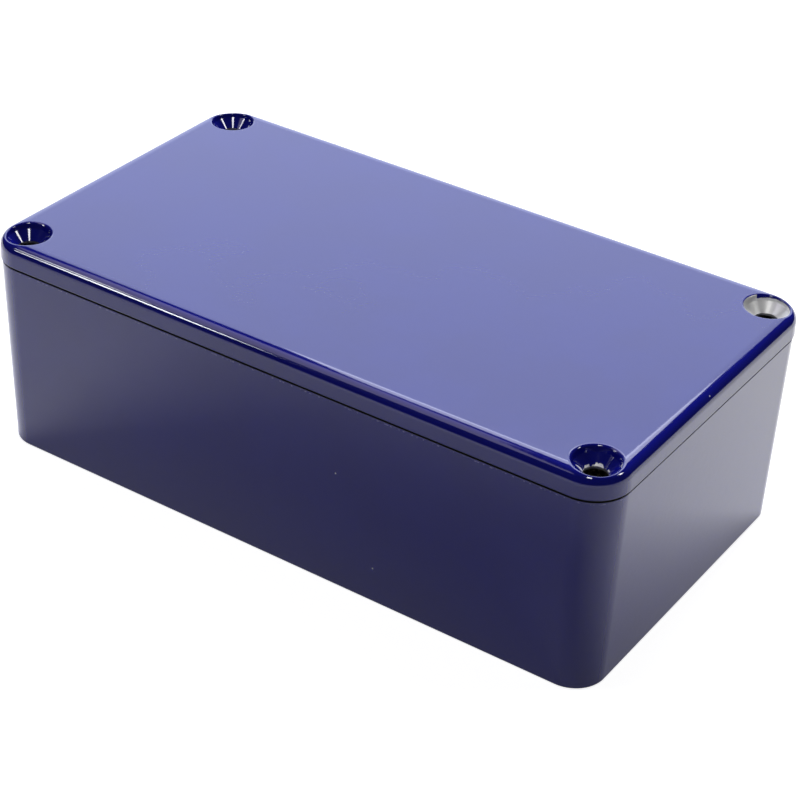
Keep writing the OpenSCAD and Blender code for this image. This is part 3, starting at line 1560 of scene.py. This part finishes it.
@dataclass(frozen=True)
class GlossPaint:
    """Deep navy gloss paint with a faint orange peel, worn spots and specks of dust.

    The paint is painted black and dull in the joint, as shade between the two castings, and pale
    dots along the box's side of the joint are partly flaking paint and partly painted highlight
    of its edge catching light. A pattern is given by its features in a metre and its layers of
    finer detail.
    Sizes and places are in millimetres, but for the peel's depth in metres.
    """

    name: str
    joint: float
    colour: Triple = (0.004, 0.006, 0.21)
    deep: Triple = (0.004, 0.005, 0.19)
    drift: Pair = (60, 3)
    drift_span: Pair = (0.35, 0.65)
    roughness: float = 0.07
    smears: Pair = (240, 2)
    smear_roughness: float = 0.03
    coat_roughness: float = 0.04
    coat_ior: float = 1.5
    peel: Pair = (520, 1)
    fine_peel: Pair = (1400, 1)
    fine_share: float = 0.4
    peel_depth: float = 0.000012
    # Painted shade in the joint: half its height, its soft edge, and its black, dull paint
    joint_shade: float = 0.27
    joint_shade_soft: float = 0.05
    joint_shade_colour: Triple = (0.0005, 0.0005, 0.001)
    joint_shade_roughness: float = 0.95
    # Pale dots along the box's edge below the joint: partly flaking paint, partly painted
    # highlight of the edge catching light
    flake_highlights: Pair = (1500, 1)
    flake_highlight_span: Pair = (0.52, 0.66)
    flake_highlight_strength: float = 0.4
    flake_highlight_line: float = 0.52
    flake_highlight_half: float = 0.1
    flake_highlight_soft: float = 0.04
    flake_highlight_colour: Triple = (0.22, 0.22, 0.60)
    wear: tuple[Wear, ...] = ()
    metal: BareCasting | None = None
    dust: tuple[Triple, ...] = ()
    dust_r: float = 0.13
    dust_soft: float = 0.026
    dust_colour: Triple = (0.80, 0.82, 0.88)

    def shader(self, graph: Graph) -> Signal:
        """Draws up the paint: colour drift, dust, pale dots of flaking paint with painted
        highlight, painted shade in the joint and orange peel.

        Args:
            graph: The finish's node tree.

        Returns:
            The shader.
        """
        place = graph.place()
        drift = graph.noise(place, *self.drift)
        colour = graph.blend(drift.step(*self.drift_span), self.deep, self.colour)
        for speck in self.dust:
            distance = graph.distance(place, tuple(part * MM for part in speck)) / MM
            near = distance.below(self.dust_r, self.dust_soft)
            colour = graph.blend(near, colour, self.dust_colour)
        depth = self.joint - graph.millimetres()[2]
        # Painted highlight with flaking paint: pale lavender dots in a band just below the joint
        flake_highlights = graph.noise(place, *self.flake_highlights).step(*self.flake_highlight_span) * self.flake_highlight_strength
        line = (depth - self.flake_highlight_line).size().below(self.flake_highlight_half, self.flake_highlight_soft)
        colour = graph.blend(flake_highlights * line, colour, self.flake_highlight_colour)
        # Painted shade: the paint turns black, dull and without coat in the joint between the
        # castings
        joint_shade = depth.size().below(self.joint_shade, self.joint_shade_soft)
        colour = graph.blend(joint_shade, colour, self.joint_shade_colour)
        peel = graph.noise(place, *self.peel)
        peel = peel + graph.noise(place, *self.fine_peel) * self.fine_share
        relief = graph.relief(peel, self.peel_depth, 1.0)
        rough = self.roughness + graph.noise(place, *self.smears) * self.smear_roughness
        inputs = {
            "Base Color": colour,
            "Roughness": rough.larger(joint_shade * self.joint_shade_roughness),
            "Coat Weight": 1 - joint_shade,
            "Coat Roughness": self.coat_roughness,
            "Coat IOR": self.coat_ior,
            "Normal": relief,
        }
        return graph.signal("ShaderNodeBsdfPrincipled", {}, inputs)

    def material(self) -> bpy.types.Material:
        """Makes the finish, with the metal under it where the paint is gone.

        Returns:
            The material.
        """
        material, graph = finish_of(self.name)
        surface = self.shader(graph)
        if self.wear and self.metal:
            metal = self.metal.shader(graph)
            for patch in self.wear:
                surface = graph.mixed(patch.bare(graph), surface, metal)
        graph.made(surface)
        return material


# ---------------------------------------------------------------- studio and camera


@dataclass(frozen=True)
class Lamp:
    """Soft rectangular lamp that faces the object.

    Its middle stands at an azimuth and elevation from the object, in degrees, and at a
    distance in metres. Azimuth 0 is towards +X and 90 towards +Y. A lamp that isn't mirrored
    lights the object but doesn't show in its gloss.
    """

    name: str
    azimuth: float
    elevation: float
    distance: float
    size: Pair
    radiance: float
    tint: Triple = WHITE
    mirrored: bool = True

    def light(self) -> bpy.types.Object:
        """Makes the lamp, whose power gives its face the stated radiance.

        Returns:
            The lamp.
        """
        data = bpy.data.lights.new(self.name, "AREA")
        data.shape = "RECTANGLE"
        data.size, data.size_y = self.size
        data.color = self.tint
        data.energy = self.radiance * math.pi * self.size[0] * self.size[1]
        lamp = placed(self.name, data)
        azimuth, elevation = math.radians(self.azimuth), math.radians(self.elevation)
        level = math.cos(elevation)
        way = Vector((level * math.cos(azimuth), level * math.sin(azimuth), math.sin(elevation)))
        turn = (-way).to_track_quat("-Z", "Y").to_matrix().to_4x4()
        lamp.matrix_world = Matrix.Translation(way * self.distance) @ turn
        lamp.visible_camera = False
        lamp.visible_glossy = self.mirrored
        return lamp


@dataclass(frozen=True)
class Studio:
    """Pale floor, soft lamps and a dim surround.

    Mirrored rays find a painted glow on the floor: a painted shadow at the object's foot, a
    bluish painted pool of light further round it, and the strongest painted light behind it,
    towards an azimuth in degrees. Sizes, places and distances are in metres.
    """

    floor_size: float = 6.0
    floor_drop: float = 0.00002
    floor_colour: Triple = (0.50, 0.50, 0.50)
    floor_roughness: float = 0.9
    floor_white: float = 0.88
    # Strengths of the painted glow seen in gloss: everywhere, round the object, and behind it
    glow: float = 0.03
    glow_around: float = 0.15
    glow_behind: float = 0.39
    around_middle: Triple = (0.04, -0.03, 0.0)
    around_span: Pair = (-0.02, 0.20)
    around_tint: Triple = (0.93, 0.93, 1.5)
    behind_azimuth: float = 100.0
    behind_span: Pair = (-0.085, 0.07)
    surround: float = 0.02
    lamps: tuple[Lamp, ...] = ()

    def floor_shader(self, graph: Graph) -> Signal:
        """Draws up the floor: white where it is seen, with a painted glow and painted shadow for
        mirrored rays.

        It is clear from underneath, so that the object's underside can be seen.

        Args:
            graph: The floor's node tree.

        Returns:
            The shader.
        """
        rays = ("Is Camera Ray", "Is Glossy Ray", "Is Transmission Ray")
        seen, mirrored, through = graph.signals("ShaderNodeLightPath", rays)
        place = graph.place()
        across, along, _ = graph.parts(place)
        azimuth = math.radians(self.behind_azimuth)
        behind = across * math.cos(azimuth) + along * math.sin(azimuth)
        behind = behind.step(*self.behind_span)
        # Painted shadow and pool of light: the glow seen in gloss is faint at the object's foot
        # and rises further out
        around = graph.distance(place, self.around_middle).step(*self.around_span)
        around = around * (1 - behind)
        painted_glow = around * self.glow_around + behind * self.glow_behind + self.glow
        light = (seen + through) * self.floor_white + mirrored * painted_glow
        tint = graph.blend(behind, self.around_tint, WHITE)
        tint = graph.blend(mirrored, WHITE, tint)
        inputs = {
            "Base Color": self.floor_colour,
            "Roughness": self.floor_roughness,
            "Specular IOR Level": 0.0,
            "Emission Color": graph.blend(light, BLACK, tint),
            "Emission Strength": 1.0,
        }
        shader = graph.signal("ShaderNodeBsdfPrincipled", {}, inputs)
        clear = graph.signal("ShaderNodeBsdfTransparent")
        under = graph.signal("ShaderNodeNewGeometry", output="Backfacing")
        return graph.mixed(under, shader, clear)

    def floor(self) -> bpy.types.Object:
        """Makes the floor, a level sheet just below the object that keeps its shadow.

        Returns:
            The floor.
        """
        half, level = self.floor_size / 2, -self.floor_drop
        corners = [(-half, -half), (half, -half), (half, half), (-half, half)]
        mesh = bpy.data.meshes.new("studio_floor")
        mesh.from_pydata([(*corner, level) for corner in corners], [], [(0, 1, 2, 3)])
        material, graph = finish_of("studio_floor")
        graph.made(self.floor_shader(graph))
        mesh.materials.append(material)
        floor = placed("studio_floor", mesh)
        return floor

    def world(self) -> None:
        """Makes the surround: white where it is seen, dim in what it gives the object."""
        world = bpy.data.worlds.new("studio_surround")
        world.use_nodes = True
        graph = Graph(world.node_tree)
        rays = ("Is Camera Ray", "Is Transmission Ray")
        seen, through = graph.signals("ShaderNodeLightPath", rays)
        strength = self.surround + (seen + through).smaller(1.0) * (1 - self.surround)
        inputs = {"Color": strength, "Strength": 1.0}
        shade = graph.signal("ShaderNodeBackground", {}, inputs)
        graph.node("ShaderNodeOutputWorld", {}, {"Surface": shade})
        bpy.context.scene.world = world

    def build(self) -> None:
        """Makes the floor, the surround and every lamp."""
        self.floor()
        self.world()
        for lamp in self.lamps:
            lamp.light()


@dataclass(frozen=True)
class Camera:
    """Camera by its place in metres, where it looks in degrees, and its lens in millimetres."""

    place: Triple = (0.174542, -0.265213, 0.219809)
    azimuth: float = 33.016
    elevation: float = 32.010
    roll: float = 2.496
    lens: float = 99.591
    sensor: float = 36.0
    shift: Pair = (0.00077, -0.04311)

    def build(self) -> bpy.types.Object:
        """Makes the camera and gives it to the scene.

        It looks along (-sin a cos e, cos a cos e, -sin e) and is then rolled about that.

        Returns:
            The camera.
        """
        a, e = math.radians(self.azimuth), math.radians(self.elevation)
        back = Vector((math.sin(a) * math.cos(e), -math.cos(a) * math.cos(e), math.sin(e)))
        right = Vector((math.cos(a), math.sin(a), 0.0))
        turn = Matrix((right, back.cross(right), back)).transposed().to_4x4()
        data = bpy.data.cameras.new("studio_camera")
        data.lens, data.sensor_width = self.lens, self.sensor
        data.shift_x, data.shift_y = self.shift
        camera = placed("studio_camera", data)
        roll = Matrix.Rotation(math.radians(self.roll), 4, "Z")
        camera.matrix_world = Matrix.Translation(self.place) @ turn @ roll
        bpy.context.scene.camera = camera
        return camera


# Name, azimuth, elevation, distance, size and radiance of each lamp
STUDIO_LAMPS = (
    Lamp("window_panel", 124.0, 22.0, 1.2, (1.4, 0.87), 1.22, tint=(0.92, 1.0, 1.26)),
    Lamp("back_fill", 115.0, 36.0, 1.3, (1.0, 0.6), 12.3, mirrored=False),
    Lamp("upper_back", 112.0, 49.0, 0.5, (0.26, 0.12), 2.6, tint=(0.92, 0.95, 1.1)),
    Lamp("high_veil", 184.0, 60.0, 1.2, (1.15, 0.36), 0.9, tint=(1.0, 0.92, 1.2)),
    Lamp("right_lamp", 37.0, 48.0, 1.2, (0.20, 0.20), 11.0),
    Lamp("left_lamp", 225.8, 36.0, 0.856, (0.12, 0.12), 15.0, tint=(0.93, 0.96, 1.0)),
    Lamp("left_spot", 210.7, 46.0, 0.80, (0.07, 0.07), 9.0),
    Lamp("camera_lamp", 296.5, 67.0, 0.76, (0.10, 0.18), 11.0),
)
# Middle across, half width and reach of each chip, in millimetres
LID_CHIPS = (
    (-1.25, 0.40, 0.26),
    (-0.25, 0.20, 0.14),
    (0.60, 0.60, 0.34),
    (1.95, 0.16, 0.24),
)
# Places of specks on the lid's right edge and the box's front, in millimetres
LID_DUST = ((59.62, -1.6, 39.42),)
BOX_DUST = ((12.32, -32.49, 22.24), (19.69, -32.14, 6.84))


def dressed(piece: bpy.types.Object, node: str, finishes: Sequence[object]) -> None:
    """Puts a casting in the place of its node, with its finishes.

    Args:
        piece: The casting.
        node: The node that it stands for.
        finishes: Finishes in the order of the casting's material slots.
    """
    for finish in finishes:
        piece.data.materials.append(finish.material())
    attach(piece, "root")
    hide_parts(node)
    faces = len(piece.data.polygons)
    log.info("%s stands for %s with %d faces", piece.name, node, faces)


def main() -> None:
    """Builds the camera, the studio and both castings, sized to the imported model, and logs
    each casting's faces.
    """
    logging.basicConfig(level=logging.INFO, format="%(message)s")
    bpy.context.scene.view_settings.view_transform = "Standard"
    Camera().build()
    Studio(lamps=STUDIO_LAMPS).build()
    envelope = Envelope.around(cad_box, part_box("box_body")[1][2])
    box = Box(envelope).build()
    paint = GlossPaint("navy_gloss_box", envelope.joint, dust=BOX_DUST)
    dressed(box, "box_body", (paint, BareCasting("bare_box")))
    lid = Lid(envelope).build()
    x, y = (float(part) for part in envelope.screw(0))
    worn = BareCasting(
        "worn_metal",
        light=(0.96, 0.96, 0.94),
        dark=(0.84, 0.84, 0.83),
        roughness=0.34,
        metallic=0.6,
    )
    paint = GlossPaint(
        "navy_gloss_lid",
        envelope.joint,
        wear=(StrippedSink((x, y)), ChippedEdge((x, -y), chips=LID_CHIPS)),
        metal=worn,
        dust=LID_DUST,
    )
    dressed(lid, "lid", (paint, BareCasting("bare_lid", hole=(x, y))))


if __name__ == "__main__":
    main()
